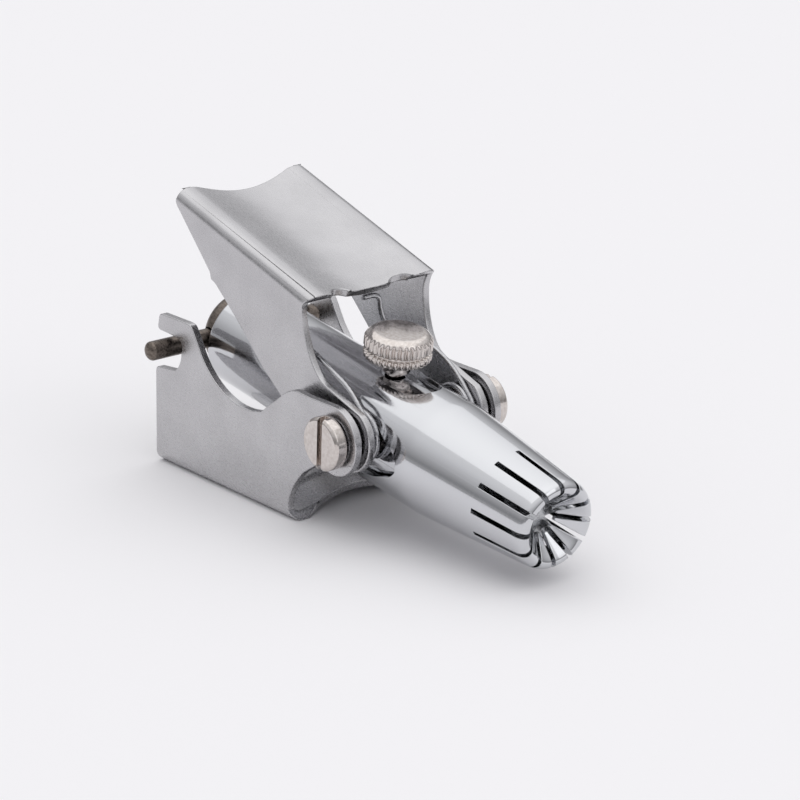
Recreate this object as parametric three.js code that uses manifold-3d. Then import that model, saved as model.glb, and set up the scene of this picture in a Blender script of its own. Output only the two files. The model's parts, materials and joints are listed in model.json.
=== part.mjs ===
// Squeeze-handle nose hair trimmer: two pressed handles on one cross axis, a
// barrel with a sliding plunger, a turning cutter and a slotted guard.
// Millimetres.  The tool is drawn with the cross axis of the handles on Y at
// its origin and the barrel along X, then tipped nose down so that the lower
// handle stands flat on Z = 0.  Angles are in degrees.
import * as THREE from 'three';
import Module from 'manifold-3d';

// Overall
const NOSE_DOWN = 7.6;          // tilt of the barrel when it stands on a table
const PIVOT_HEIGHT = 11.5;      // handle axis above the table
const BARREL_DROP = 1.35;       // barrel axis below the handle axis
const REAR_X = -31.6;           // rear end of both handles
const SHEET = 0.9;              // handle sheet
const FIT = 0.15;               // side clearance of a pressed or threaded fit
const RUN = 0.3;                // clearance of a moving fit
const BARREL_RADIUS = 5.8;      // the handles and the guard are fitted round it

// Upper handle
const UPPER_HALF_WIDTH = BARREL_RADIUS + 2.6;   // at the ears
const UPPER_FLARE = 0.7;         // each side stands wider at the crest
const UPPER_CREST_FRONT = [-8.4, 13.6];
const UPPER_SLOPE = 8.0;        // crest rises towards the rear

// Lower handle
const LOWER_HALF_WIDTH = UPPER_HALF_WIDTH + 1.8;
const SLOT_LOW = -4.0;          // rear slot, lower edge at its mouth
const SLOT_HIGH = 0.25;         // rear slot, upper edge
const SLOT_FRONT = -27.6;

// Shared handle section
const BEND_RADIUS = 1.4;
const CREST_FLAT = 0.5;
const WEB_DIP = 1.0;            // hollow of the web between its crests
const FLARE_DEPTH = 9.5;        // the sides are upright below this depth
const EAR_RADIUS = 3.9;

// Pivot stack, outside to inside
const SCREW_HEAD_RADIUS = 3.0;
const SCREW_HEAD_HEIGHT = 1.5;
const SCREW_SLOT = 0.8;
const SHANK_RADIUS = 1.3;
const BUSH_RADIUS = 1.95;
const EAR_HOLE_RADIUS = 1.7;

// Barrel, plunger and drive
const BARREL_WALL = 0.9;
const BARREL_REAR = -28.6;
const BARREL_FRONT = 8.5;
const PLUNGER_RADIUS = BARREL_RADIUS - BARREL_WALL - RUN;
const PLUNGER_REAR = -31.9;
const PLUNGER_FRONT = -15;
const PIN_X = -30.2;
const PIN_RADIUS = 1.1;
const PIN_HALF_LENGTH = 13;
const SPINDLE_WIDTH = 3.0;
const PLUNGER_BORE = SPINDLE_WIDTH / 2 + 0.9;
const SPRING_SEAT = PLUNGER_BORE + 0.9;
const SPINDLE_SHEET = 1.2;
const SPINDLE_LEAD = 14;        // millimetres for one full twist

// Guard
const GUARD_WALL = 0.5;
const GUARD_RADIUS = BARREL_RADIUS + RUN + GUARD_WALL;
const GUARD_REAR = -2.6;
const GUARD_TAPER = 7.6;
const GUARD_FRONT = 25.5;
const GUARD_FRONT_RADIUS = 5.1;
const GUARD_SLOTS = 12;
const GUARD_SLOT = 0.55;
const GUARD_SLOT_REAR = 17.9;
const FUNNEL_DEPTH = 2.5;
const FUNNEL_HOLE = 1.5;

// Thumb screw
const THUMB_X = -2.7;
const THUMB_RADIUS = 3.8;
const BARREL_TOP = BARREL_RADIUS - BARREL_DROP;
const THUMB_TOP = BARREL_TOP + 5.35;
const THUMB_HEIGHT = 3.3;
const THUMB_NECK = 1.6;
const THUMB_TEETH = 34;

// Return spring
const WIRE = 0.6;
const COIL_RADIUS = 2.85;
const COIL_Y = UPPER_HALF_WIDTH - SHEET - 1.25;

const rad = THREE.MathUtils.degToRad;
const wasm = await Module();
wasm.setup();

// --- solids ---------------------------------------------------------------

function toSolid(geometry) {
  const g = geometry.index ? geometry.toNonIndexed() : geometry;
  const source = g.getAttribute('position');
  const seen = new Map();
  const points = [];
  const triangles = [];
  for (let i = 0; i < source.count; i += 1) {
    const p = [source.getX(i), source.getY(i), source.getZ(i)];
    const key = p.map((v) => Math.round(v * 1e5)).join();
    if (!seen.has(key)) {
      seen.set(key, points.length / 3);
      points.push(...p);
    }
    triangles.push(seen.get(key));
  }
  const kept = [];
  for (let i = 0; i < triangles.length; i += 3) {
    const [a, b, c] = triangles.slice(i, i + 3);
    if (a !== b && b !== c && a !== c) kept.push(a, b, c);
  }
  return new wasm.Manifold(new wasm.Mesh({
    numProp: 3,
    vertProperties: new Float32Array(points),
    triVerts: new Uint32Array(kept),
  }));
}

function toGeometry(solid) {
  const mesh = solid.getMesh();
  const g = new THREE.BufferGeometry();
  const flat = [];
  for (let i = 0; i < mesh.vertProperties.length; i += mesh.numProp) {
    flat.push(...mesh.vertProperties.subarray(i, i + 3));
  }
  g.setAttribute('position', new THREE.Float32BufferAttribute(flat, 3));
  g.setIndex(Array.from(mesh.triVerts));
  g.computeVertexNormals();
  return g;
}

const matrix = (make) => {
  const m = new THREE.Matrix4();
  make(m);
  return m;
};
const turnX = (deg) => matrix((m) => m.makeRotationX(rad(deg)));
const turnY = (deg) => matrix((m) => m.makeRotationY(rad(deg)));
const turnZ = (deg) => matrix((m) => m.makeRotationZ(rad(deg)));
const shift = (x, y, z) => matrix((m) => m.makeTranslation(x, y, z));

function place(solid, ...steps) {
  let out = solid;
  for (const m of steps) out = out.transform(m.elements);
  return out;
}

const union = (list) => list.reduce((a, b) => a.add(b));
const cut = (solid, list) => list.reduce((a, b) => a.subtract(b), solid);

function box(x0, x1, y0, y1, z0, z1) {
  const g = new THREE.BoxGeometry(x1 - x0, y1 - y0, z1 - z0);
  g.translate((x0 + x1) / 2, (y0 + y1) / 2, (z0 + z1) / 2);
  return toSolid(g);
}

// A shape drawn in two axes, pushed along the third from a to b.
function prism(points, a, b) {
  const shape = new THREE.Shape(points.map((p) => new THREE.Vector2(...p)));
  const g = new THREE.ExtrudeGeometry(shape, { depth: b - a, bevelEnabled: false });
  g.translate(0, 0, a);
  return toSolid(g);
}
const prismY = (points, a, b) => place(prism(points, -b, -a), turnX(90));
const prismZ = (points, a, b) => prism(points, a, b);
const prismX = (points, a, b) => place(prism(points, a, b), turnY(90), turnX(90));

// A profile of [distance along, radius], turned round an axis.
function turned(profile, segments = 48) {
  const g = new THREE.LatheGeometry(profile.map(([x, r]) => new THREE.Vector2(r, x)), segments);
  return toSolid(g);
}
const turnedX = (profile, segments) => {
  const up = turned(profile, segments);
  return place(up, turnZ(-90));
};
const rodX = (r, x0, x1, n) => turnedX([[x0, 0], [x0, r], [x1, r], [x1, 0]], n);
const rodY = (r, y0, y1, n) => turned([[y0, 0], [y0, r], [y1, r], [y1, 0]], n);
const rodZ = (r, z0, z1, n) => place(rodY(r, z0, z1, n), turnX(90));

function arc(cx, cy, r, from, to, steps) {
  const out = [];
  for (let i = 0; i <= steps; i += 1) {
    const t = rad(from + ((to - from) * i) / steps);
    out.push([cx + r * Math.cos(t), cy + r * Math.sin(t)]);
  }
  return out;
}

// A round wire along a smooth path.
function wire(points, radius, steps) {
  const path = new THREE.CatmullRomCurve3(points.map((p) => new THREE.Vector3(...p)), false,
    'centripetal');
  const ring = new THREE.Shape(arc(0, 0, radius, 0, 315, 7).map((p) => new THREE.Vector2(...p)));
  const g = new THREE.ExtrudeGeometry(ring, { steps, extrudePath: path, bevelEnabled: false });
  return toSolid(g);
}

// --- handles --------------------------------------------------------------

// Section of the sheet across the handle, crest at height zero.
function sheetSection(earHalfWidth, flare) {
  const halfWidth = earHalfWidth + flare;
  const inner = BEND_RADIUS - SHEET;
  const bend = halfWidth - BEND_RADIUS;
  const web = bend - CREST_FLAT;
  const side = -40;
  const ears = [earHalfWidth, earHalfWidth - SHEET];
  const dip = (y) => -WEB_DIP * (1 - (y / web) ** 2);
  const outerWeb = [];
  for (let i = 0; i <= 16; i += 1) {
    const y = web - (2 * web * i) / 16;
    outerWeb.push([y, dip(y)]);
  }
  const right = arc(bend, -BEND_RADIUS, BEND_RADIUS, 0, 90, 6);
  const left = arc(-bend, -BEND_RADIUS, BEND_RADIUS, 90, 180, 6);
  const innerLeft = arc(-bend, -BEND_RADIUS, inner, 180, 90, 4);
  const innerRight = arc(bend, -BEND_RADIUS, inner, 90, 0, 4);
  const innerWeb = outerWeb.map(([y, z]) => [-y, z - SHEET]);
  return [
    [ears[0], side], [ears[0], -FLARE_DEPTH], ...right, ...outerWeb, ...left,
    [-ears[0], -FLARE_DEPTH], [-ears[0], side], [-ears[1], side], [-ears[1], -FLARE_DEPTH],
    ...innerLeft, ...innerWeb, ...innerRight, [ears[1], -FLARE_DEPTH], [ears[1], side],
  ];
}

// The bent sheet, laid with its crest through one point at a slope.
function channel(section, [x, z], slope, flipped) {
  const blank = prismX(section, -45, 30);
  const turn = flipped ? [turnX(180)] : [];
  return place(blank, ...turn, turnY(slope), shift(x, 0, z));
}

const ear = arc(0, 0, EAR_RADIUS, -118, 62, 14);

function upperHandle() {
  const outline = [
    ...ear, [-1.6, 4.0], [-5.2, 4.6], [-6.9, 6.3], [-8.1, 8.6], [-8.8, 11.0],
    [-8.6, 12.5], [-7.5, 13.3], [-5.0, 20.0], [REAR_X - 1.0, 20.0], [REAR_X - 0.5, 16.6],
    [REAR_X - 0.7, 15.3], [-25.6, 9.3], [-25.5, 8.5], [-24.7, 8.4],
    [-19.9, 5.2], [-15.5, 2.1], [-11.0, -0.4], [-6.0, -2.2],
  ];
  const section = sheetSection(UPPER_HALF_WIDTH, UPPER_FLARE);
  const sheet = channel(section, UPPER_CREST_FRONT, UPPER_SLOPE, false);
  const body = sheet.intersect(prismY(outline, -15, 15));
  const notch = (y) => place(rodZ(1.7, 5, 20, 20), shift(-7.3, y, 0));
  const rear = place(rodZ(22, 5, 30, 80), shift(REAR_X - 21.6, 0, 0));
  return cut(body, [notch(4.0), notch(-4.0), rear, rodY(EAR_HOLE_RADIUS, -15, 15, 28)]);
}

function lowerHandle() {
  const hollow = arc(-16.9, 7.0, 9.8, -137, -64, 12);
  const outline = [
    ...arc(0, 0, EAR_RADIUS, -118, 100, 16), [-4.9, 3.2], [-7.4, 3.0], [-8.9, 2.0],
    [-10.4, 0.4], ...hollow.reverse(), [-25.6, 2.2], [-26.3, 2.9], [-27.0, 2.9],
    [REAR_X - 0.6, 2.1], [REAR_X - 0.7, 0.1], [-29.0, SLOT_HIGH + 0.2],
    [SLOT_FRONT, SLOT_HIGH], [SLOT_FRONT, -1.9], [-28.2, SLOT_LOW + 0.6],
    [REAR_X - 0.5, SLOT_LOW - 0.4], [REAR_X + 0.9, -15.3], [REAR_X + 1.3, -20],
    [-5.2, -20], [-5.2, -12.3], [-6.4, -11.6], [-6.7, -10.3], [-6.1, -8.2],
    [-4.8, -6.0], [-3.2, -4.6],
  ];
  const deep = -PIVOT_HEIGHT / Math.cos(rad(NOSE_DOWN));
  const sheet = channel(sheetSection(LOWER_HALF_WIDTH, 0), [0, deep], -NOSE_DOWN, true);
  const body = sheet.intersect(prismY(outline, -15, 15));
  const front = place(rodZ(15, -30, -6, 64), shift(7.3, 0, 0));
  return cut(body, [front, rodY(EAR_HOLE_RADIUS, -15, 15, 28)]);
}

// --- pivot stack ----------------------------------------------------------

const HEAD_Y = LOWER_HALF_WIDTH + 0.42;
const BUSH_IN = BARREL_RADIUS - BARREL_WALL;
const BUSH_OUT = UPPER_HALF_WIDTH - SHEET - RUN;

function pivotScrew() {
  const top = HEAD_Y + SCREW_HEAD_HEIGHT;
  const head = turned([[HEAD_Y, 0], [HEAD_Y, SCREW_HEAD_RADIUS], [top - 0.3, SCREW_HEAD_RADIUS],
    [top, SCREW_HEAD_RADIUS - 0.35], [top, 0]], 40);
  const shank = rodY(SHANK_RADIUS, BUSH_IN + 0.7, HEAD_Y + 0.4, 28);
  const slot = box(-SCREW_SLOT / 2, SCREW_SLOT / 2, top - 0.7, top + 1, -5, 5);
  return head.add(shank).subtract(place(slot, turnY(-6)));
}

const ringY = (outer, inner, y0, y1) => turned(
  [[y0, inner], [y0, outer], [y1, outer], [y1, inner], [y0, inner]], 36);

function pivotBush() {
  const body = rodY(BUSH_RADIUS, BUSH_IN, BUSH_OUT, 36);
  return body.subtract(rodY(SHANK_RADIUS + FIT, BUSH_IN - 1, BUSH_OUT + 1, 28));
}

// --- barrel and drive -----------------------------------------------------

const onBarrel = (solid) => place(solid, shift(0, 0, -BARREL_DROP));

function barrel() {
  const inner = BARREL_RADIUS - BARREL_WALL;
  const tube = onBarrel(turnedX([
    [BARREL_REAR, inner], [BARREL_REAR, BARREL_RADIUS - 0.3], [BARREL_REAR + 0.3, BARREL_RADIUS],
    [BARREL_FRONT - 0.4, BARREL_RADIUS], [BARREL_FRONT, BARREL_RADIUS - 0.4],
    [BARREL_FRONT, inner], [BARREL_REAR, inner]], 56));
  const boss = rodZ(2.6, BARREL_TOP - BARREL_WALL - 0.95, BARREL_TOP - 0.5, 32);
  const seat = place(boss, shift(THUMB_X, 0, 0));
  const bore = place(rodZ(1.0 + FIT, 0, BARREL_TOP + 1.55, 24), shift(THUMB_X, 0, 0));
  const sides = rodY(BUSH_RADIUS + FIT, -BUSH_OUT - 0.8, BUSH_OUT + 0.8, 36);
  return tube.add(seat).subtract(bore).subtract(sides);
}

function plunger() {
  const r = PLUNGER_RADIUS;
  const body = onBarrel(turnedX([
    [PLUNGER_REAR, 0], [PLUNGER_REAR, r - 1.6], [PLUNGER_REAR + 0.2, r - 0.8],
    [PLUNGER_REAR + 0.7, r - 0.2], [PLUNGER_REAR + 1.2, r], [PLUNGER_FRONT, r],
    [PLUNGER_FRONT, 0]], 44));
  const bore = onBarrel(rodX(PLUNGER_BORE, -27.5, PLUNGER_FRONT + 1, 32));
  const seat = onBarrel(rodX(SPRING_SEAT, -18.2, PLUNGER_FRONT + 1, 36));
  const cross = onBarrel(place(rodY(PIN_RADIUS + FIT, -9, 9, 28), shift(PIN_X, 0, 0)));
  return cut(body, [bore, seat, cross]);
}

function crossPin() {
  const half = PIN_HALF_LENGTH;
  const dome = arc(0, 0, PIN_RADIUS, 0, 90, 5).map(([r, y]) => [half - PIN_RADIUS * 0.6 + y * 0.6, r]);
  const mirror = dome.map(([y, r]) => [-y, r]).reverse();
  return onBarrel(place(turned([...mirror, ...dome], 24), shift(PIN_X, 0, 0)));
}

// A flat strip twisted round the barrel axis.
function twistedStrip(x0, x1) {
  const steps = Math.ceil((x1 - x0) / 0.8);
  const g = new THREE.BoxGeometry(x1 - x0, SPINDLE_WIDTH, SPINDLE_SHEET, steps, 1, 1);
  g.translate((x0 + x1) / 2, 0, 0);
  const at = g.getAttribute('position');
  for (let i = 0; i < at.count; i += 1) {
    const angle = (2 * Math.PI * at.getX(i)) / SPINDLE_LEAD;
    const y = at.getY(i);
    const z = at.getZ(i);
    at.setY(i, y * Math.cos(angle) - z * Math.sin(angle));
    at.setZ(i, y * Math.sin(angle) + z * Math.cos(angle));
  }
  return toSolid(g);
}

const spindle = () => onBarrel(twistedStrip(-26, 10).add(rodX(1.5, 4.6, 13.2, 28)));

function spindleNut() {
  const x0 = -20.2;
  const x1 = -18.8;
  const slot = box(x0 - 1, x1 + 1, -SPINDLE_WIDTH / 2 - RUN, SPINDLE_WIDTH / 2 + RUN,
    -SPINDLE_SHEET / 2 - 0.5, SPINDLE_SHEET / 2 + 0.5);
  const angle = (360 * (x0 + x1)) / 2 / SPINDLE_LEAD;
  return onBarrel(rodX(PLUNGER_BORE - FIT, x0, x1, 36).subtract(place(slot, turnX(angle))));
}

function guideBush() {
  const r = BARREL_RADIUS - BARREL_WALL - FIT;
  return onBarrel(turnedX([[5.4, 1.8], [5.4, r], [7.8, r], [7.8, 1.8], [5.4, 1.8]], 40));
}

function thrustWasher() {
  return onBarrel(turnedX([[8.1, 1.8], [8.1, 3.4], [8.5, 3.4], [8.5, 1.8], [8.1, 1.8]], 36));
}

function plungerSpring() {
  const points = [];
  const turns = 5;
  for (let i = 0; i <= turns * 10; i += 1) {
    const t = (2 * Math.PI * i) / 10;
    const x = -17.8 + (i / (turns * 10)) * 9.5;
    points.push([x, (SPRING_SEAT - 0.4) * Math.cos(t), (SPRING_SEAT - 0.4) * Math.sin(t)]);
  }
  return onBarrel(wire(points, 0.32, 84));
}

function springStop() {
  const r = BARREL_RADIUS - BARREL_WALL - FIT - 0.05;
  return onBarrel(turnedX([[-7.6, 1.9], [-7.6, r], [-6.9, r], [-6.9, 1.9], [-7.6, 1.9]], 40));
}

// --- guard and cutter -----------------------------------------------------

const taper = (x) => GUARD_RADIUS - ((GUARD_RADIUS - GUARD_FRONT_RADIUS) * (x - GUARD_TAPER))
  / (GUARD_FRONT - 1 - GUARD_TAPER);

function guard() {
  const f = GUARD_FRONT;
  const r = GUARD_FRONT_RADIUS;
  const w = GUARD_WALL;
  const back = f - FUNNEL_DEPTH;
  const shell = turnedX([
    [GUARD_REAR, GUARD_RADIUS - w], [GUARD_REAR, GUARD_RADIUS], [GUARD_TAPER, GUARD_RADIUS],
    [f - 1.1, taper(f - 1.1)], [f - 0.5, r - 0.15], [f - 0.1, r - 0.5], [f, r - 0.9],
    [f - 0.15, r - 1.3], [back, FUNNEL_HOLE], [back - 0.5, FUNNEL_HOLE + 0.2],
    [f - 1.0, r - 1.3], [f - 1.2, taper(f - 1.2) - w],
    [GUARD_TAPER, GUARD_RADIUS - w], [GUARD_REAR, GUARD_RADIUS - w]], 72);
  const cuts = [];
  for (let i = 0; i < GUARD_SLOTS; i += 1) {
    const slot = box(GUARD_SLOT_REAR, f + 1, -GUARD_SLOT / 2, GUARD_SLOT / 2, 0.6, 9);
    cuts.push(place(slot, turnX((360 * i) / GUARD_SLOTS)));
  }
  const side = [[-9, 4.9], [GUARD_REAR - 0.1, 4.4], [-0.7, 3.7], [2.2, 2.9], [3.8, 2.1],
    [5.4, 1.5], [6.2, 0.6]];
  const below = side.map(([x, z]) => [x, -z]).reverse();
  cuts.push(prismY([...side, ...below], -9, 9));
  const mouth = arc(1.3, 0, 2.5, -90, 90, 10);
  cuts.push(prismZ([[-9, -3.6], [GUARD_REAR, -3.3], [-0.9, -2.7], ...mouth, [-0.9, 2.7],
    [GUARD_REAR, 3.3], [-9, 3.6]], 0, 9));
  const vee = prismZ([[-9, -3.3], [GUARD_REAR - 0.1, -0.9], [1.5, 0], [GUARD_REAR - 0.1, 0.5],
    [-9, 0.8]], 1, 9);
  for (const angle of [38, 142]) {
    cuts.push(place(vee, turnX(angle)));
    const flipped = place(vee, matrix((m) => m.makeScale(1, -1, 1)));
    cuts.push(place(flipped, turnX(-angle)));
  }
  return onBarrel(cut(shell, cuts));
}

function cutter() {
  const gap = GUARD_WALL + RUN;
  const front = GUARD_FRONT - FUNNEL_DEPTH - 0.9;
  const envelope = turnedX([[13.6, 0], [13.6, taper(13.6) - gap], [16.4, taper(16.4) - gap],
    [front + 1.0, taper(front + 1) - gap - 0.1], [front, 2.0], [front, 0]], 60);
  const keep = [];
  for (let i = 0; i < 3; i += 1) {
    keep.push(place(box(12, 30, -9, 9, -0.55, 0.55), turnX(60 * i + 10)));
  }
  const hub = rodX(2.2, 13.6, 19, 32);
  const back = turnedX([[13.6, 0], [13.6, taper(13.6) - gap], [15.2, taper(15.2) - gap],
    [15.2, 0]], 60);
  const body = union([envelope.intersect(union(keep)), hub, back]);
  return onBarrel(body.subtract(rodX(1.5 + FIT, 13, 15.8, 28)));
}

// --- thumb screw and return spring ----------------------------------------

function thumbScrew() {
  const top = THUMB_TOP;
  const low = top - THUMB_HEIGHT;
  const knurl = (z0, z1, r) => {
    const teeth = [];
    for (let i = 0; i < 2 * THUMB_TEETH; i += 1) {
      const t = (Math.PI * i) / THUMB_TEETH;
      const reach = i % 2 ? r - 0.22 : r;
      teeth.push([reach * Math.cos(t), reach * Math.sin(t)]);
    }
    return prismZ(teeth, z0, z1);
  };
  const shaping = place(turned([
    [low - 0.1, 0], [low - 0.1, THUMB_RADIUS - 0.5], [low + 0.3, THUMB_RADIUS - 0.05],
    [top - 1.1, THUMB_RADIUS + 0.1], [top - 0.45, THUMB_RADIUS - 0.45],
    [top - 0.1, THUMB_RADIUS - 1.0], [top, THUMB_RADIUS - 1.7], [top, 0]], 64), turnX(90));
  const parts = [
    knurl(low, low + 1.05, THUMB_RADIUS), knurl(low + 1.3, top, THUMB_RADIUS),
    rodZ(THUMB_RADIUS - 0.5, low + 0.5, low + 1.6, 48)];
  const head = union(parts).intersect(shaping);
  const neck = rodZ(THUMB_NECK, BARREL_TOP + 0.75, low + 0.3, 32);
  const thread = rodZ(1.0, BARREL_TOP - 2.85, BARREL_TOP + 1.15, 24);
  return place(union([head, neck, thread]), shift(THUMB_X, 0, 0));
}

// One wire: a bail on the floor of the lower handle, a coil round each bush,
// one end standing under the front of the upper handle and one at its side.
function returnSpring() {
  const y = COIL_Y;
  const low = [[-14.3, y - 1.45, -10.5], [-13.9, y - 0.15, -10.2], [-9, y, -7.5], [-4.4, y, -4.7]];
  const coil = [];
  for (let i = 0; i <= 17; i += 1) {
    const t = rad(-100 + (520 * i) / 17);
    coil.push([COIL_RADIUS * Math.cos(t), y + 0.053 * i, COIL_RADIUS * Math.sin(t)]);
  }
  const left = [[-1.6, y + 0.8, 4.5], [-4.5, y + 0.35, 5.7], [-7.5, 5.2, 6.6], [-9.0, 3.4, 7.6],
    [-9.4, 2.7, 9.2], [-9.5, 2.4, 10.5], [-9.6, 1.6, 10.9], [-9.6, 0.2, 10.9]];
  const right = [[-1.6, -y - 0.8, 4.5], [-4.5, -y - 0.75, 5.4], [-8.5, -y - 0.75, 6.4]];
  const other = [...low, ...coil].map(([a, b, c]) => [a, -b, c]);
  const path = [...right.reverse(), ...other.reverse(), ...low, ...coil, ...left];
  return wire(path, WIRE / 2, 130);
}

// --- assembly -------------------------------------------------------------

const mirrored = (solid) => place(solid, matrix((m) => m.makeScale(1, -1, 1)));

const STEEL = { color: 0xc9cacb, roughness: 0.3, metalness: 1 };
const CHROME = { color: 0xe2e4e6, roughness: 0.08, metalness: 1 };
const NICKEL = { color: 0xd6cbc0, roughness: 0.22, metalness: 1 };
const GUNMETAL = { color: 0x6b625b, roughness: 0.35, metalness: 1 };
const CUTTER = { color: 0xbfc2c4, roughness: 0.25, metalness: 1 };
const SPRING = { color: 0xa9abad, roughness: 0.3, metalness: 1 };

const screw = pivotScrew();
const bush = pivotBush();
const headWasher = ringY(2.6, SHANK_RADIUS + FIT, LOWER_HALF_WIDTH + 0.1, HEAD_Y - 0.1);
const spacer = ringY(3.0, SHANK_RADIUS + FIT, UPPER_HALF_WIDTH + 0.2,
  LOWER_HALF_WIDTH - SHEET - 0.2);

const pieces = [
  ['barrel', barrel(), CHROME],
  ['pivot_bush_left', bush, NICKEL],
  ['pivot_bush_right', mirrored(bush), NICKEL],
  ['pivot_screw_left', screw, NICKEL],
  ['pivot_screw_right', mirrored(screw), NICKEL],
  ['head_washer_left', headWasher, STEEL],
  ['head_washer_right', mirrored(headWasher), STEEL],
  ['spacer_washer_left', spacer, STEEL],
  ['spacer_washer_right', mirrored(spacer), STEEL],
  ['guide_bush', guideBush(), GUNMETAL],
  ['thrust_washer', thrustWasher(), STEEL],
  ['spring_stop', springStop(), GUNMETAL],
  ['plunger_spring', plungerSpring(), SPRING],
  ['return_spring', returnSpring(), SPRING],
  ['upper_handle', upperHandle(), STEEL],
  ['lower_handle', lowerHandle(), STEEL],
  ['plunger', plunger(), GUNMETAL],
  ['cross_pin', crossPin(), GUNMETAL],
  ['spindle_nut', spindleNut(), NICKEL],
  ['spindle', spindle(), CUTTER],
  ['cutter', cutter(), CUTTER],
  ['guard', guard(), CHROME],
  ['thumb_screw', thumbScrew(), NICKEL],
];

const standing = pieces.map(([name, solid, look]) => [
  name, place(solid, turnY(NOSE_DOWN), shift(0, 0, PIVOT_HEIGHT)), look]);
const reach = standing.map(([, solid]) => solid.boundingBox());
const rear = Math.min(...reach.map((b) => b.min[0]));
const front = Math.max(...reach.map((b) => b.max[0]));

const group = new THREE.Group();
for (const [name, solid, look] of standing) {
  const centred = place(solid, shift(-(rear + front) / 2, 0, 0));
  const mesh = new THREE.Mesh(toGeometry(centred), new THREE.MeshStandardMaterial(look));
  mesh.name = name;
  group.add(mesh);
}

export default group;
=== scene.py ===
# %% [markdown]
# # A squeeze-handle nose hair trimmer, piece by piece
#
# The tool has two pressed steel handles on one cross axis, a chromed barrel
# with a plunger inside, a slotted chromed guard, a knurled thumb screw and one
# long return spring.  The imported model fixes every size; here each visible
# piece is made again with fine curves, rounded edges and a real metal finish.

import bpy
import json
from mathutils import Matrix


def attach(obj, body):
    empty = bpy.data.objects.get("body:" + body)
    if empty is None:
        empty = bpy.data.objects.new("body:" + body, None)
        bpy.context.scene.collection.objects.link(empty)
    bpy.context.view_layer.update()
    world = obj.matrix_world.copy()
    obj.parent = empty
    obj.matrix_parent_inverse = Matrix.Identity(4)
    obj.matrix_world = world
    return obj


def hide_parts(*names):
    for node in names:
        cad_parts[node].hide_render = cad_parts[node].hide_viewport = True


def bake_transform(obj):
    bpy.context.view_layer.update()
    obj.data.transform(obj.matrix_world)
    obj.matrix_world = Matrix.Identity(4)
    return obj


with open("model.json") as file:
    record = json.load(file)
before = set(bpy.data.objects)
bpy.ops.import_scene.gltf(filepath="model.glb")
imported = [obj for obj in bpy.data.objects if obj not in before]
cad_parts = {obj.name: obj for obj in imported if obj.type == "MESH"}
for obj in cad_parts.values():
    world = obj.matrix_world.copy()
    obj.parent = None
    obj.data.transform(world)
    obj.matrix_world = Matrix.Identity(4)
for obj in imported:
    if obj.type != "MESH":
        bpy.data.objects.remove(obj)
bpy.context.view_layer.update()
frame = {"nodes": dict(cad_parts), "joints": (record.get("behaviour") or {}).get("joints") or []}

# %% What the lesson uses besides the frame
import json
from math import atan2, cos, degrees, pi, radians, sin

import bmesh
import bpy
from mathutils import Matrix, Vector

# %% [markdown]
# ## One frame for drawing
#
# Every piece is easiest to draw with the handles' axis on Y at the origin and
# the barrel along X, in millimetres.  The real tool stands nose down, so one
# matrix carries a finished mesh to its place in metres.  Its tilt and its
# pivot come from the record's own joints.

# %% The tool's own axes
MM = 0.001
joint = {j["name"]: j for j in frame["joints"]}
pivot = Vector(joint["upper_handle_pivot"]["pos_m"])
slide = joint["plunger_slide"]["axis"]
nose_down = atan2(slide[2], -slide[0])

TOOL = Matrix.Translation(pivot) @ Matrix.Rotation(nose_down, 4, "Y") @ Matrix.Scale(MM, 4)
BARREL_DROP = 1.35
ON_BARREL = TOOL @ Matrix.Translation((0, 0, -BARREL_DROP))
print("pivot at", pivot, "nose down", round(degrees(nose_down), 2), "degrees")


# %% A solid from points and faces
def solid(name, points, faces):
    mesh = bpy.data.meshes.new(name)
    mesh.from_pydata(points, [], faces)
    made = bmesh.new()
    made.from_mesh(mesh)
    bmesh.ops.recalc_face_normals(made, faces=made.faces)
    made.to_mesh(mesh)
    made.free()
    piece = bpy.data.objects.new(name, mesh)
    bpy.context.collection.objects.link(piece)
    return piece


# %% [markdown]
# ## Three ways to make metal
#
# Sheet, turned and drilled pieces all start from a drawn line.  Pushing it
# straight gives a blank, turning it round an axis gives a turned piece, and
# booleans do the punching and drilling.  A bevel then breaks the edges, because
# a real edge is never sharp and its thin highlight is what makes metal read as
# metal.

# %% Push a drawn line along an axis
AXES = {
    "x": lambda u, v, w: (w, u, v),
    "y": lambda u, v, w: (u, w, v),
    "z": lambda u, v, w: (u, v, w),
}


def pushed(name, line, axis, start, end):
    n = len(line)
    lay = AXES[axis]
    points = [lay(u, v, w) for w in (start, end) for u, v in line]
    sides = [(i, (i + 1) % n, n + (i + 1) % n, n + i) for i in range(n)]
    return solid(name, points, [tuple(range(n)), tuple(range(n, 2 * n)), *sides])


# %% Turn a line of (along, radius) points round an axis
def turned(name, line, axis, segments=96, at=(0.0, 0.0), closed=False):
    lay = AXES[axis]
    rows, points = [], []
    for along, radius in line:
        if radius < 1e-6:
            rows.append([len(points)])
            points.append(lay(at[0], at[1], along))
            continue
        rows.append(list(range(len(points), len(points) + segments)))
        for i in range(segments):
            t = 2 * pi * i / segments
            points.append(lay(at[0] + radius * cos(t), at[1] + radius * sin(t), along))
    pairs = list(zip(rows, rows[1:]))
    if closed:
        pairs.append((rows[-1], rows[0]))
    faces = []
    for a, b in pairs:
        for i in range(segments):
            j = (i + 1) % segments
            if len(a) == 1 and len(b) == 1:
                break
            if len(a) == 1:
                faces.append((a[0], b[i], b[j]))
            elif len(b) == 1:
                faces.append((a[i], b[0], a[j]))
            else:
                faces.append((a[i], b[i], b[j], a[j]))
    return solid(name, points, faces)


def ring(name, axis, inner, outer, low, high, edge, segments=72, at=(0.0, 0.0)):
    line = softened([(low, inner), (low, outer), (high, outer), (high, inner)], edge, closed=True)
    return turned(name, line, axis, segments, at, closed=True)


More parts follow.
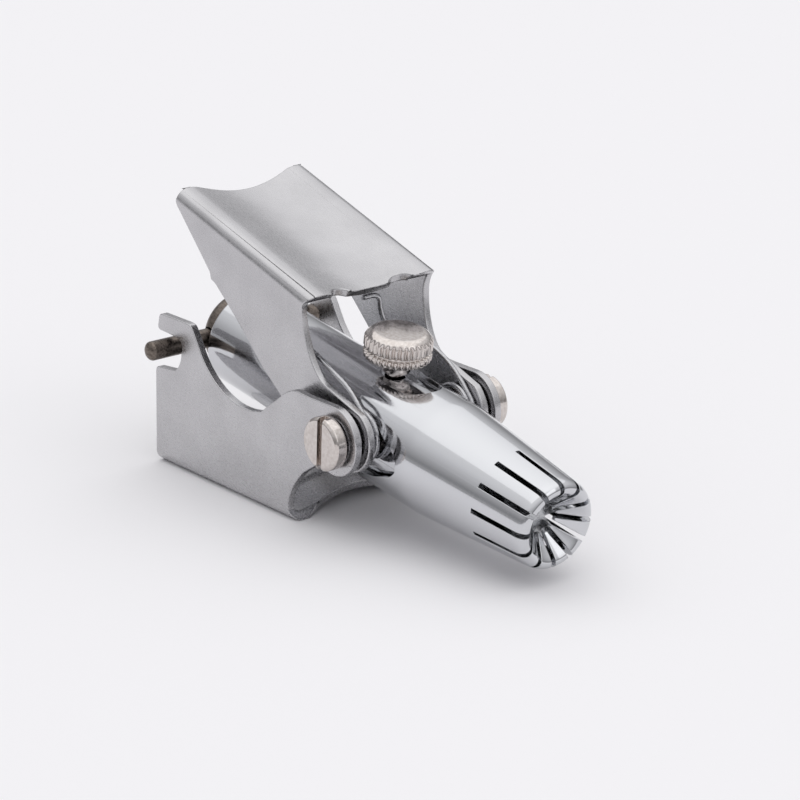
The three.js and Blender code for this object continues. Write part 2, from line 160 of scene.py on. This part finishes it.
# %% Soften the corners of a line, as a tool's nose or a punch does
def softened(line, reach, steps=5, closed=False):
    out = []
    n = len(line)
    for i, here in enumerate(line):
        if not closed and i in (0, n - 1):
            out.append(tuple(here))
            continue
        before, after, here = Vector(line[i - 1]), Vector(line[(i + 1) % n]), Vector(here)
        a, b = before - here, after - here
        start = here + a * min(reach / max(a.length, 1e-9), 0.48)
        end = here + b * min(reach / max(b.length, 1e-9), 0.48)
        for k in range(steps + 1):
            t = k / steps
            point = start * (1 - t) ** 2 + here * (2 * t * (1 - t)) + end * t**2
            out.append(tuple(point))
    return out


def arc(cx, cy, radius, first, last, steps):
    turn = [radians(first + (last - first) * i / steps) for i in range(steps + 1)]
    return [(cx + radius * cos(t), cy + radius * sin(t)) for t in turn]


# %% Punch, drill and settle
def settle(piece):
    bpy.context.view_layer.update()
    graph = bpy.context.evaluated_depsgraph_get()
    mesh = bpy.data.meshes.new_from_object(piece.evaluated_get(graph))
    mesh.name = piece.name
    piece.modifiers.clear()
    piece.data = mesh


def carve(piece, tools, how="DIFFERENCE"):
    for tool in tools:
        step = piece.modifiers.new("carve", "BOOLEAN")
        step.operation, step.solver, step.object = how, "EXACT", tool
        settle(piece)
        bpy.data.objects.remove(tool)


# %% Break the edges, smooth the shading and put the piece in its place
def finish_mesh(piece, place, edge=0.0, sharper_than=32.0):
    made = bmesh.new()
    made.from_mesh(piece.data)
    bmesh.ops.remove_doubles(made, verts=made.verts, dist=0.012)
    made.to_mesh(piece.data)
    made.free()
    if edge:
        bevel = piece.modifiers.new("edges", "BEVEL")
        bevel.width, bevel.segments = edge, 3
        bevel.limit_method, bevel.angle_limit = "ANGLE", radians(sharper_than)
        bevel.use_clamp_overlap = False
    for face in piece.data.polygons:
        face.use_smooth = True
    piece.modifiers.new("shading", "WEIGHTED_NORMAL")
    settle(piece)
    piece.data.transform(place)
    print(piece.name, len(piece.data.vertices), "vertices")


# %% [markdown]
# ## Camera
#
# The camera comes before the pieces so that each can be looked at as it is
# made.  It stands well back with a long lens, which keeps the handles and the
# nose in nearly the same scale, and is a little rolled.

# %% Camera
AZIMUTH, ELEVATION, ROLL = radians(50.668), radians(19.098), radians(0.616)
DISTANCE, ASIDE, ABOVE = 437.86, 4.687, 11.050   # mm, along the camera's axes
AIM_X, AIM_Z = -5.013, 0.016                     # mm, where the view is centred
FOCAL_IN_FRAMES = 3941.55 / 800

back = Vector((sin(AZIMUTH) * cos(ELEVATION), -cos(AZIMUTH) * cos(ELEVATION), sin(ELEVATION)))
right = Vector((cos(AZIMUTH), sin(AZIMUTH), 0))
up = back.cross(right)
cam_x = right * cos(ROLL) + up * sin(ROLL)
cam_y = up * cos(ROLL) - right * sin(ROLL)
eye = cam_x * ASIDE + cam_y * ABOVE + back * DISTANCE + Vector((AIM_X, 0, AIM_Z))

lens = bpy.data.cameras.new("camera")
lens.sensor_width = 36.0
lens.lens = FOCAL_IN_FRAMES * lens.sensor_width
lens.clip_start, lens.clip_end = 0.01, 50.0
camera = bpy.data.objects.new("camera", lens)
axes = Matrix((cam_x, cam_y, back)).transposed().to_4x4()
camera.matrix_world = Matrix.Translation(eye * MM) @ axes
bpy.context.collection.objects.link(camera)
bpy.context.scene.camera = camera
print("camera at", tuple(round(v, 4) for v in camera.matrix_world.translation))

# %% [markdown]
# ## Finishes
#
# All of it is bare or plated metal, so every finish is the same shader with
# full metallic and the default IOR.  What tells them apart is colour, gloss
# and the marks that the making left: rolling grain on the sheet, fine lines
# under the chrome, dull spots in the nickel.  Each is a noise stretched to the
# size of the real mark.


# %% Colours, and one way to add a node
def linear(hexes):
    parts = [int(hexes[i : i + 2], 16) / 255 for i in (0, 2, 4)]
    return (*[p / 12.92 if p <= 0.04045 else ((p + 0.055) / 1.055) ** 2.4 for p in parts], 1.0)


def add(tree, kind, inputs=None, **settings):
    made = tree.nodes.new("ShaderNode" + kind)
    for name, value in settings.items():
        setattr(made, name, value)
    for socket, value in (inputs or {}).items():
        if isinstance(value, bpy.types.NodeSocket):
            tree.links.new(value, made.inputs[socket])
        else:
            made.inputs[socket].default_value = value
    return made


def metal(name, hexes, roughness):
    material = bpy.data.materials.new(name)
    material.use_nodes = True
    tree = material.node_tree
    shader = tree.nodes["Principled BSDF"]
    shader.inputs["Base Color"].default_value = linear(hexes)
    shader.inputs["Metallic"].default_value = 1.0
    shader.inputs["Roughness"].default_value = roughness
    return material, tree, shader


def marks(tree, length, width, detail=2.0):
    """Noise whose marks are length x width millimetres, long way down the barrel."""
    where = add(tree, "TexCoord").outputs["Object"]
    size = {"Vector": where, "Rotation": (0, -nose_down, 0)}
    level = add(tree, "Mapping", size, vector_type="POINT").outputs[0]
    scale = (1 / (length * MM), 1 / (width * MM), 1 / (width * MM))
    sized = add(tree, "VectorMath", {0: level, 1: scale}, operation="MULTIPLY").outputs[0]
    return add(tree, "TexNoise", {"Vector": sized, "Scale": 1.0, "Detail": detail}).outputs[0]


def between(tree, value, low, high, span=(0.3, 0.7)):
    limits = {"Value": value, "From Min": span[0], "From Max": span[1],
              "To Min": low, "To Max": high}
    return add(tree, "MapRange", limits).outputs["Result"]


MIX_A, MIX_B, MIX_COLOUR = 6, 7, 2   # the mix node's colour sockets have no names of their own


def worked(tree, shader, pattern, gloss, height, strength, tones=None, share=None):
    """Lets a pattern set the gloss and a relief in millimetres, and mix two tones by a share."""
    if tones:
        blend = {0: share, MIX_A: linear(tones[0]), MIX_B: linear(tones[1])}
        tone = add(tree, "Mix", blend, data_type="RGBA")
        tree.links.new(tone.outputs[MIX_COLOUR], shader.inputs["Base Color"])
    tree.links.new(between(tree, pattern, *gloss), shader.inputs["Roughness"])
    relief = {"Height": pattern, "Distance": height * MM, "Strength": strength}
    tree.links.new(add(tree, "Bump", relief).outputs[0], shader.inputs["Normal"])


# %% [markdown]
# ### Satin rolled steel sheet
#
# The handles are pressed from bright rolled sheet.  Rolling leaves a short,
# dense grain along the sheet, and handling leaves broad soft patches.  To the
# eye that is a grey, slightly sparkling surface with no mirror image in it.

# %% Rolled sheet steel
GRAIN = (0.5, 0.16)   # mm; real grain is near 0.05 mm, drawn coarser to show
PATCH = 5.0           # mm, a finger's smudge

sheet_steel, tree, shader = metal("steel_sheet_satin_rolled", "BAB9BB", 0.28)
grain = marks(tree, *GRAIN)
patch = marks(tree, PATCH, PATCH)
halves = {0: between(tree, patch, 0, 0.5), 1: between(tree, grain, 0, 0.5, (0.2, 0.8))}
both = add(tree, "Math", halves).outputs[0]
worked(tree, shader, grain, (0.22, 0.34), 0.008, 0.4, ("B5B4B6", "C8C7C9"), both)

# %% [markdown]
# ### Bright chrome plate
#
# The barrel is drawn tube and the guard is turned, both brass under nickel and
# chrome.  Chrome is nearly white and mirror-like.  The lines left under the
# plating run down the barrel and round the guard, and each reflection is
# pulled out into fine streaks across them.

# %% Chrome, over two kinds of line
DRAWN = (9.0, 0.22)    # mm, along by across
TURNED = (0.16, 7.0)   # mm, the feed of the turning tool is near 0.05 mm


def chromed(name, line):
    material, tree, shader = metal(name, "CFD0D3", 0.07)
    lines = marks(tree, *line)
    worked(tree, shader, lines, (0.05, 0.14), 0.004, 0.35)
    return material


chrome_drawn = chromed("brass_tube_drawn_chrome_plated", DRAWN)
chrome_turned = chromed("brass_turned_chrome_plated", TURNED)

# %% [markdown]
# ### Nickel plate
#
# Screws, bushes and the thumb screw are turned and nickel plated.  Nickel is
# warmer than chrome and a little softer in its gloss, with small dull spots.

# %% Nickel
SPECK = 0.35   # mm

nickel, tree, shader = metal("steel_nickel_plated", "D3CAC5", 0.13)
speck = marks(tree, SPECK, SPECK, 3.0)
share = between(tree, speck, 0, 1)
worked(tree, shader, speck, (0.08, 0.19), 0.004, 0.4, ("C6BEB9", "D9D3CF"), share)

# %% [markdown]
# ### Black nickel, ground steel and drawn wire
#
# The plunger and its cross pin are dark, a brown-grey plating with drawn lines
# along them.  The cutter and its spindle are ground steel, bright with short
# scratches.  The springs are hard drawn wire with a dull shine.

# %% The three darker metals
def streaked(name, dark, light, length, width, gloss, height):
    material, tree, shader = metal(name, light, gloss[0])
    scratch = marks(tree, length, width)
    share = between(tree, scratch, 0, 1)
    worked(tree, shader, scratch, gloss, height, 0.5, (dark, light), share)
    return material


gunmetal = streaked("steel_black_nickel_plated", "5E5650", "827972", 0.5, 0.2, (0.24, 0.42), 0.01)
ground = streaked("steel_blade_ground", "A9ABAD", "D0D1D3", 2.0, 0.12, (0.12, 0.3), 0.006)
wire_steel = streaked("steel_wire_hard_drawn", "A4A4A7", "C2C2C5", 3.0, 0.15, (0.16, 0.32), 0.006)

FINISHES = {
    "pressed_steel": sheet_steel, "chrome": chrome_drawn, "nickel": nickel,
    "gunmetal": gunmetal, "blade_steel": ground, "spring_steel": wire_steel,
}
print("finishes:", sorted(FINISHES))


# %% Dress a piece and hang it on its body
def dress(piece, slot, body, *nodes):
    piece.data.materials.clear()
    piece.data.materials.append(FINISHES[slot])
    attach(piece, body)
    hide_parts(*nodes)


# %% [markdown]
# ## The handles
#
# Each handle is one sheet folded into a channel: two ears, two round folds and
# a web that dips between them so that a finger sits in it.  The section is
# drawn once, pushed along the handle, and then the side view is punched out of
# it, as the press does in the other order.

# %% Section of the folded sheet
SHEET = 0.9
BEND = 1.4             # outside radius of the two folds
CREST_FLAT = 0.5
WEB_DIP = 1.0
WEB_ROLL = 1.4         # above 1, the web leaves its crests without a crease
WEB_STEPS = 36
BLANK_DEEP, BLANK_REAR, BLANK_FRONT = -40, -45, 30   # longer and deeper than any handle
FLARE_DEPTH = 9.5      # the ears are upright below this
EAR = 3.9
EAR_HOLE = 1.7
LOWER_HALF, UPPER_HALF, UPPER_FLARE = 10.2, 8.4, 0.7


def section(ears, flare):
    bend = ears + flare - BEND
    web = bend - CREST_FLAT
    across = [web - 2 * web * i / WEB_STEPS for i in range(WEB_STEPS + 1)]
    top = [(y, -WEB_DIP * max(1 - (y / web) ** 2, 0) ** WEB_ROLL) for y in across]
    under = [(-y, z - SHEET) for y, z in top]
    ins = BEND - SHEET
    inside = ears - SHEET
    return [
        (ears, BLANK_DEEP), (ears, -FLARE_DEPTH), *arc(bend, -BEND, BEND, 0, 90, 12), *top,
        *arc(-bend, -BEND, BEND, 90, 180, 12), (-ears, -FLARE_DEPTH), (-ears, BLANK_DEEP),
        (-inside, BLANK_DEEP), (-inside, -FLARE_DEPTH), *arc(-bend, -BEND, ins, 180, 90, 8),
        *under, *arc(bend, -BEND, ins, 90, 0, 8), (inside, -FLARE_DEPTH), (inside, BLANK_DEEP),
    ]


def folded(name, ears, flare, crest, slope, flip=1):
    line = [(y, flip * z) for y, z in section(ears, flare)]
    blank = pushed(name, line, "x", BLANK_REAR, BLANK_FRONT)
    tip = Matrix.Rotation(radians(slope), 4, "Y")
    blank.data.transform(Matrix.Translation((crest[0], 0, crest[1])) @ tip)
    return blank


# %% Upper handle
REAR = -31.6
upper_side = [
    *arc(0, 0, EAR, -118, 62, 26),
    *softened([(1.83, 3.44), (-1.6, 4.0), (-5.2, 4.6), (-6.9, 6.3), (-8.1, 8.6), (-8.8, 11.0),
               (-8.6, 12.5), (-7.5, 13.3), (-5.0, 20.0)], 1.2)[1:],
    (REAR - 1.0, 20.0),
    *softened([(REAR - 1.0, 20.0), (REAR - 0.5, 16.6), (REAR - 0.7, 15.3), (-25.6, 9.3),
               (-25.5, 8.5), (-24.7, 8.4), (-19.9, 5.2), (-15.5, 2.1), (-11.0, -0.4),
               (-6.0, -2.2), (-1.83, -3.44)], 0.5)[1:-1],
]
upper = folded("upper_handle_sheet", UPPER_HALF, UPPER_FLARE, (-8.4, 13.6), 8.0)
carve(upper, [pushed("punch", upper_side, "y", -15, 15)], "INTERSECT")
carve(upper, [
    turned("notch", [(5, 0), (5, 1.7), (20, 1.7), (20, 0)], "z", 40, (-7.3, 4.0)),
    turned("notch", [(5, 0), (5, 1.7), (20, 1.7), (20, 0)], "z", 40, (-7.3, -4.0)),
    turned("thumb_cut", [(5, 0), (5, 22), (30, 22), (30, 0)], "z", 260, (REAR - 21.6, 0)),
    turned("hole", [(-15, 0), (-15, EAR_HOLE), (15, EAR_HOLE), (15, 0)], "y", 48),
])
finish_mesh(upper, TOOL, 0.18)
dress(upper, "pressed_steel", "upper_handle", "upper_handle")

# %% [markdown]
# The lower handle is folded the other way up and stands on its two folds.  Its
# ears have a hollow where a spring end shows and a slot at the back that holds
# the cross pin, and its front edge is cut round between the ears.

# %% Lower handle
SLOT_LOW, SLOT_HIGH, SLOT_FRONT = -4.0, 0.25, -27.6
hollow = arc(-16.9, 7.0, 9.8, -64, -137, 28)
lower_side = [
    *arc(0, 0, EAR, -118, 100, 30),
    *softened([(-0.68, 3.84), (-4.9, 3.2), (-7.4, 3.0), (-8.9, 2.0), (-10.4, 0.4), hollow[0]],
              0.8)[1:-1],
    *hollow,
    *softened([hollow[-1], (-25.6, 2.2), (-26.3, 2.9), (-27.0, 2.9), (REAR - 0.6, 2.1),
               (REAR - 0.7, 0.1), (-29.0, SLOT_HIGH + 0.2), (SLOT_FRONT, SLOT_HIGH),
               (SLOT_FRONT, -1.9), (-28.2, SLOT_LOW + 0.6), (REAR - 0.5, SLOT_LOW - 0.4),
               (REAR + 0.9, -15.3), (REAR + 1.3, -20)], 0.6)[1:],
    *softened([(-5.2, -20), (-5.2, -12.3), (-6.4, -11.6), (-6.7, -10.3), (-6.1, -8.2),
               (-4.8, -6.0), (-3.2, -4.6), (-1.83, -3.44)], 1.0)[:-1],
]
tilt = degrees(nose_down)
lower = folded("lower_handle_sheet", LOWER_HALF, 0, (0, -pivot.z / MM / cos(nose_down)), -tilt, -1)
carve(lower, [pushed("punch", lower_side, "y", -15, 15)], "INTERSECT")
carve(lower, [
    turned("front_cut", [(-30, 0), (-30, 15), (-6, 15), (-6, 0)], "z", 200, (7.3, 0)),
    turned("hole", [(-15, 0), (-15, EAR_HOLE), (15, EAR_HOLE), (15, 0)], "y", 48),
])
finish_mesh(lower, TOOL, 0.12)
dress(lower, "pressed_steel", "lower_handle", "lower_handle")

# %% [markdown]
# ## The pivot stack
#
# On each side a slotted screw goes through a washer, the two ears, a spacer
# washer and into a bush on the barrel.  All are turned, so a soft-cornered line
# round the Y axis makes each; only the screwdriver slot is cut.

# %% Screws, bushes and washers
HEAD_Y = LOWER_HALF + 0.42
HEAD_TOP, HEAD_RADIUS, SHANK = HEAD_Y + 1.5, 3.0, 1.3
DRIVER_SLOT, DRIVER_TURN = 0.8, radians(-6)

for side, name in ((1, "left"), (-1, "right")):
    line = [(5.6, 0), (5.6, SHANK), (HEAD_Y, SHANK), (HEAD_Y, HEAD_RADIUS),
            (HEAD_TOP - 0.3, HEAD_RADIUS), (HEAD_TOP, HEAD_RADIUS - 0.35), (HEAD_TOP, 0)]
    line = [line[0], *softened(line, 0.12)[1:-1], line[-1]]
    screw = turned(f"pivot_screw_{name}_head", [(side * y, r) for y, r in line], "y")
    half = DRIVER_SLOT / 2
    slot = pushed("slot", [(-half, -5), (half, -5), (half, 5), (-half, 5)], "y",
                  side * (HEAD_TOP - 1.1), side * (HEAD_TOP + 1))
    slot.data.transform(Matrix.Rotation(DRIVER_TURN, 4, "Y"))
    carve(screw, [slot])
    finish_mesh(screw, TOOL, 0.05, 40)
    dress(screw, "nickel", "frame", f"pivot_screw_{name}")

    stack = (
        ("pivot_bush", "nickel", SHANK + 0.15, 1.95, 4.9, 7.2),
        ("head_washer", "pressed_steel", SHANK + 0.15, 2.6, LOWER_HALF + 0.1, HEAD_Y - 0.1),
        ("spacer_washer", "pressed_steel", SHANK + 0.15, 3.0, UPPER_HALF + 0.2, LOWER_HALF - 1.1),
    )
    for kind, finish, inner, outer, low, high in stack:
        low, high = sorted((side * low, side * high))
        washer = ring(f"{kind}_{name}_turned", "y", inner, outer, low, high, 0.08)
        finish_mesh(washer, TOOL)
        dress(washer, finish, "frame", f"{kind}_{name}")

# %% [markdown]
# ## Barrel, plunger and cross pin
#
# The barrel is a plain tube with a small seat for the thumb screw and two side
# holes for the bushes.  Inside it slides the dark plunger, and the cross pin
# goes through the plunger and sticks out past both handles.

# %% Barrel
BARREL, WALL = 5.8, 0.9
BARREL_REAR, BARREL_FRONT = -28.6, 8.5
THUMB_X = -2.7

line = [(BARREL_REAR, BARREL - WALL), (BARREL_REAR, BARREL), (BARREL_FRONT, BARREL),
        (BARREL_FRONT, BARREL - WALL)]
tube = turned("barrel_tube", softened(line, 0.3, closed=True), "x", 144, closed=True)
tube.data.transform(Matrix.Translation((0, 0, -BARREL_DROP)))
seat = [(2.6, 0), (2.6, 2.6), (3.95, 2.6), (3.95, 0)]
carve(tube, [turned("seat", seat, "z", 64, (THUMB_X, 0))], "UNION")
carve(tube, [
    turned("bore", [(0, 0), (0, 1.15), (6, 1.15), (6, 0)], "z", 40, (THUMB_X, 0)),
    turned("side_hole", [(-8, 0), (-8, 2.1), (8, 2.1), (8, 0)], "y", 64),
])
finish_mesh(tube, TOOL, 0.05, 40)
dress(tube, "chrome", "frame", "barrel")

# %% Plunger and cross pin
PLUNGER, PLUNGER_REAR, PLUNGER_FRONT = 4.6, -31.9, -15.0
PIN_X, PIN, PIN_HALF = -30.2, 1.1, 13.0

line = [(PLUNGER_REAR, 0), (PLUNGER_REAR, PLUNGER - 1.5), (PLUNGER_REAR + 0.35, PLUNGER - 0.5),
        (PLUNGER_REAR + 1.2, PLUNGER), (PLUNGER_FRONT, PLUNGER), (PLUNGER_FRONT, 3.3),
        (-18.2, 3.3), (-18.2, 2.4), (-27.5, 2.4), (-27.5, 0)]
plunger = turned("plunger_turned", [line[0], *softened(line, 0.5)[1:-1], line[-1]], "x", 120)
cross = turned("cross", [(-9, 0), (-9, PIN + 0.15), (9, PIN + 0.15), (9, 0)], "y", 48, (PIN_X, 0))
carve(plunger, [cross])
finish_mesh(plunger, ON_BARREL, 0.05, 40)
dress(plunger, "gunmetal", "plunger", "plunger")

dome = [(y * 0.6 + PIN_HALF - PIN * 0.6, r) for r, y in arc(0, 0, PIN, 0, 90, 10)]
dome[-1] = (dome[-1][0], 0)
pin_line = [(-y, r) for y, r in reversed(dome)] + dome
pin = turned("cross_pin_drawn", pin_line, "y", 64, (PIN_X, 0))
finish_mesh(pin, ON_BARREL)
dress(pin, "gunmetal", "plunger", "cross_pin")

# %% [markdown]
# ## The guard
#
# The guard is a spun tube that narrows towards the front and turns in on
# itself as a funnel.  Twelve saw cuts run through its nose, its rear edge is
# notched for the bushes, and a mouth on top clears the thumb screw.  The same
# cuts are made here, in the same order, on one turned shell.

# %% Guard
GUARD, GUARD_WALL, GUARD_REAR = 6.6, 0.5, -2.6
TAPER, FRONT, FRONT_RADIUS = 7.6, 25.5, 5.1
SLOTS, SLOT, SLOT_REAR = 12, 0.55, 17.9
FUNNEL_BACK, FUNNEL_HOLE = FRONT - 2.5, 1.5


def tapered(x):
    return GUARD - (GUARD - FRONT_RADIUS) * (x - TAPER) / (FRONT - 1 - TAPER)


r = FRONT_RADIUS
profile = [
    (GUARD_REAR, GUARD - GUARD_WALL), (GUARD_REAR, GUARD), (TAPER, GUARD),
    (FRONT - 1.1, tapered(FRONT - 1.1)), (FRONT - 0.5, r - 0.15), (FRONT - 0.1, r - 0.5),
    (FRONT, r - 0.9), (FRONT - 0.15, r - 1.3), (FUNNEL_BACK, FUNNEL_HOLE),
    (FUNNEL_BACK - 0.5, FUNNEL_HOLE + 0.2), (FRONT - 1.0, r - 1.3),
    (FRONT - 1.2, tapered(FRONT - 1.2) - GUARD_WALL), (TAPER, GUARD - GUARD_WALL),
]
shell = turned("guard_shell", softened(profile, 0.6, closed=True), "x", 192, closed=True)

cuts = []
for i in range(SLOTS):
    half = SLOT / 2
    saw = pushed("saw", [(-half, 0.6), (half, 0.6), (half, 9), (-half, 9)], "x",
                 SLOT_REAR, FRONT + 1)
    saw.data.transform(Matrix.Rotation(2 * pi * i / SLOTS, 4, "X"))
    cuts.append(saw)
side = [(-9, 4.9), (GUARD_REAR - 0.1, 4.4), (-0.7, 3.7), (2.2, 2.9), (3.8, 2.1), (5.4, 1.5),
        (6.2, 0.6)]
notch = softened(side, 1.0)
cuts.append(pushed("side", [*notch, *[(x, -z) for x, z in reversed(notch)]], "y", -9, 9))
mouth = [(-9, -3.6), (GUARD_REAR, -3.3), (-0.9, -2.7), *arc(1.3, 0, 2.5, -90, 90, 24), (-0.9, 2.7),
         (GUARD_REAR, 3.3), (-9, 3.6)]
cuts.append(pushed("mouth", mouth, "z", 0, 9))
vee = [(-9, -3.3), (GUARD_REAR - 0.1, -0.9), (1.5, 0), (GUARD_REAR - 0.1, 0.5), (-9, 0.8)]
for angle in (38, 142):
    for turn in (1, -1):
        tooth = pushed("vee", [(x, turn * y) for x, y in vee], "z", 1, 9)
        tooth.data.transform(Matrix.Rotation(radians(turn * angle), 4, "X"))
        cuts.append(tooth)
carve(shell, cuts)
finish_mesh(shell, ON_BARREL, 0.06, 40)
dress(shell, "chrome", "guard", "guard")
shell.data.materials[0] = chrome_turned

# %% [markdown]
# ## The thumb screw
#
# Its head carries two knurled bands with a groove between them and a chamfered
# flat top.  A straight knurl is a turned shape whose radius ripples, so each
# ring of points gets its own depth of ripple: none on the groove and the top.

# %% Thumb screw
THUMB, THUMB_TOP, THUMB_LOW = 3.8, 9.8, 6.5
TEETH, TOOTH = 34, 0.32
PER_TOOTH = 8


def knurled(name, line, x):
    n = TEETH * PER_TOOTH
    points = []
    for z, radius, share in line:
        for i in range(n):
            t = 2 * pi * i / n
            dip = TOOTH * share * (0.5 - 0.5 * cos(TEETH * t)) ** 1.6
            points.append((x + (radius - dip) * cos(t), (radius - dip) * sin(t), z))
    rows = len(line)
    faces = [(a * n + i, a * n + (i + 1) % n, (a + 1) * n + (i + 1) % n, (a + 1) * n + i)
             for a in range(rows - 1) for i in range(n)]
    faces += [tuple(range(n)), tuple(range((rows - 1) * n, rows * n))]
    return solid(name, points, faces)


low, top = THUMB_LOW, THUMB_TOP
head_line = [
    (1.6, 1.0, 0), (5.15, 1.0, 0), (5.2, 1.6, 0), (low - 0.02, 1.6, 0), (low, 1.7, 0),
    (low, 3.1, 0), (low + 0.05, 3.3, 0.3), (low + 0.2, 3.6, 1), (low + 0.35, 3.75, 1),
    (low + 0.85, 3.8, 1), (low + 1.0, 3.65, 1), (low + 1.06, 3.4, 0.3), (low + 1.1, 3.3, 0),
    (low + 1.26, 3.3, 0), (low + 1.3, 3.4, 0.3), (low + 1.36, 3.65, 1), (low + 1.5, 3.8, 1),
    (low + 2.4, 3.8, 1), (low + 2.55, 3.76, 0.9), (low + 2.7, 3.66, 0.5), (low + 2.85, 3.54, 0.15),
    (low + 2.95, 3.44, 0), (low + 3.1, 3.26, 0), (low + 3.2, 3.1, 0), (low + 3.27, 2.9, 0),
    (top, 2.65, 0), (top, 0.6, 0),
]
knob = knurled("thumb_screw_knurled", head_line, THUMB_X)
finish_mesh(knob, TOOL)
dress(knob, "nickel", "thumb_screw", "thumb_screw")

# %% [markdown]
# ## The return spring
#
# One wire starts as a bail on the floor of the lower handle, coils one and a
# half times round each bush and ends under and beside the upper handle.  A
# round wire is a small ring of points carried along a smooth line, turned as
# little as possible from one step to the next so that it never twists.

# %% A wire along a line of points
def smooth_line(points, per_step):
    pts = [Vector(p) for p in points]
    pts = [2 * pts[0] - pts[1], *pts, 2 * pts[-1] - pts[-2]]
    out = []
    for a, b, c, d in zip(pts, pts[1:], pts[2:], pts[3:]):
        for k in range(per_step):
            t = k / per_step
            out.append(0.5 * (2 * b + (c - a) * t + (2 * a - 5 * b + 4 * c - d) * t**2
                              + (3 * b - a - 3 * c + d) * t**3))
    return [*out, pts[-2]]


def wire(name, line, radius, around=16):
    ahead = [(b - a).normalized() for a, b in zip(line, line[1:])]
    ahead.append(ahead[-1])
    out = ahead[0].orthogonal().normalized()
    points, n = [], around
    for i, here in enumerate(line):
        out = (out - ahead[i] * out.dot(ahead[i])).normalized()
        across = ahead[i].cross(out)
        points += [here + radius * (out * cos(2 * pi * k / n) + across * sin(2 * pi * k / n))
                   for k in range(n)]
    faces = [(a * n + k, a * n + (k + 1) % n, (a + 1) * n + (k + 1) % n, (a + 1) * n + k)
             for a in range(len(line) - 1) for k in range(n)]
    faces += [tuple(range(n)), tuple(range(len(points) - n, len(points)))]
    return solid(name, points, faces)


# %% Return spring
COIL, WIRE = 2.85, 0.6
COIL_Y, COIL_PITCH = 6.25, 0.053
bail = [(-14.3, 4.8, -10.5), (-13.9, 6.1, -10.2), (-9, COIL_Y, -7.5), (-4.4, COIL_Y, -4.7)]
COIL_FROM, COIL_SWEEP, COIL_STEPS = -100, 520, 17   # degrees, degrees, steps
turn = [radians(COIL_FROM + COIL_SWEEP * i / COIL_STEPS) for i in range(COIL_STEPS + 1)]
coil = [(COIL * cos(t), COIL_Y + COIL_PITCH * i, COIL * sin(t)) for i, t in enumerate(turn)]
left_end = [(-1.6, 7.05, 4.5), (-4.5, 6.6, 5.7), (-7.5, 5.2, 6.6), (-9.0, 3.4, 7.6),
            (-9.4, 2.7, 9.2), (-9.5, 2.4, 10.5), (-9.6, 1.6, 10.9), (-9.6, 0.2, 10.9)]
right_end = [(-1.6, -7.05, 4.5), (-4.5, -7.0, 5.4), (-8.5, -7.0, 6.4)]
other_side = [(x, -y, z) for x, y, z in bail + coil]
route = [*reversed(right_end), *reversed(other_side), *bail, *coil, *left_end]
spring = wire("return_spring_wire", smooth_line(route, 6), WIRE / 2)
finish_mesh(spring, TOOL)
spring.data.materials.append(wire_steel)
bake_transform(spring)
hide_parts("return_spring")

# %% [markdown]
# ## The inner works
#
# The cutter, spindle and the small rings inside the barrel have their right
# shape already, so they stay and only get their finish.

# %% Inner pieces
INNER = {
    "cutter": "blade_steel", "spindle": "blade_steel", "spindle_nut": "nickel",
    "guide_bush": "gunmetal", "spring_stop": "gunmetal", "thrust_washer": "pressed_steel",
    "plunger_spring": "spring_steel",
}
for name, slot in INNER.items():
    node = frame["nodes"][name]
    node.data.materials.clear()
    node.data.materials.append(FINISHES[slot])
print("dressed", len(INNER), "inner pieces")

# %% [markdown]
# ## Floor and light
#
# A white table with soft light from all round keeps the shadow faint.  Chrome
# shows only what stands round it, so the sky is darkest in a band just over the
# horizon and white overhead: that gives the tubes their soft dark and bright
# bands.  Two large soft boxes add a little shape.

# %% Floor
FLOOR = 6.0   # m, wide enough to fill every view

table = solid("floor", [(x * FLOOR, y * FLOOR, 0) for x, y in ((-1, -1), (1, -1), (1, 1), (-1, 1))],
              [(0, 1, 2, 3)])
paper, tree, shader = metal("paper_white_matt", "F4F3F5", 0.9)
shader.inputs["Metallic"].default_value = 0.0
shader.inputs["Specular IOR Level"].default_value = 0.1
table.data.materials.append(paper)

# %% Sky
world = bpy.data.worlds.new("studio")
bpy.context.scene.world = world
world.use_nodes = True
tree = world.node_tree
where = add(tree, "TexCoord").outputs["Generated"]
height = add(tree, "SeparateXYZ", {0: where}).outputs["Z"]
bands = add(tree, "ValToRGB", {"Fac": height})
ramp = bands.color_ramp
for at, hexes in ((0.0, "B4B4B6"), (0.12, "8E8E90"), (0.3, "B6B6B8"), (0.6, "E4E4E6")):
    stop = ramp.elements.new(at)
    stop.color = linear(hexes)
ramp.elements.remove(ramp.elements[0])
ramp.elements[-1].color = linear("FFFFFF")
sky = tree.nodes["Background"]
tree.links.new(bands.outputs["Color"], sky.inputs["Color"])
sky.inputs["Strength"].default_value = 1.06

# %% Soft boxes
AIM = Vector((0, 0, 0.01))   # m, the middle of the tool
SOFT_BOXES = (   # name, place and size in m, power in W
    ("above", (-0.2, 0.1, 0.9), (1.6, 1.6), 2.4),
    ("right", (0.85, 0.2, 0.6), (0.5, 0.7), 0.6),
)
for name, at, (wide, tall), watts in SOFT_BOXES:
    lamp = bpy.data.lights.new(name, "AREA")
    lamp.shape, lamp.size, lamp.size_y, lamp.energy = "RECTANGLE", wide, tall, watts
    box = bpy.data.objects.new(name, lamp)
    facing = (AIM - Vector(at)).to_track_quat("-Z", "Y").to_matrix().to_4x4()
    box.matrix_world = Matrix.Translation(at) @ facing
    bpy.context.collection.objects.link(box)


# %% [markdown]
# The plain view keeps the table as white as its own colour says, where a filmic
# curve would grey it.

# %% Plain view
bpy.context.scene.view_settings.view_transform = "Standard"
